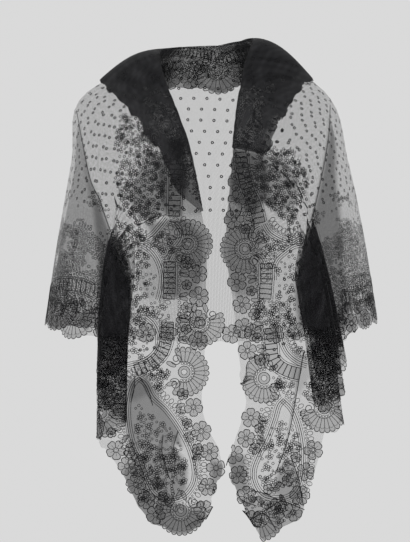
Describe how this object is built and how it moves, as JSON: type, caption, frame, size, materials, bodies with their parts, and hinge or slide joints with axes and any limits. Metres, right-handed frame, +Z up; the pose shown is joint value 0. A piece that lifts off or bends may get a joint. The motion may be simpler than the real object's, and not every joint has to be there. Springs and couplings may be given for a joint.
{
  "type": "mantilla veil",
  "caption": "Black bobbin-lace mantilla worn round the neck and shoulders, with turned-out lapels, gathered side falls and long rounded front lappets.",
  "frame": {"origin": "on the axis of the neck, at the height where the cloth bears on the shoulders", "axes": "+Z up as worn; +X towards the wearer's left; +Y towards the wearer's back"},
  "size_m": [0.5409, 0.3043, 0.8059],
  "materials": {
    "black_lace": "matte"
  },
  "bodies": {
    "root": {"lace_mantilla": "black_lace"}
  },
  "joints": []
}
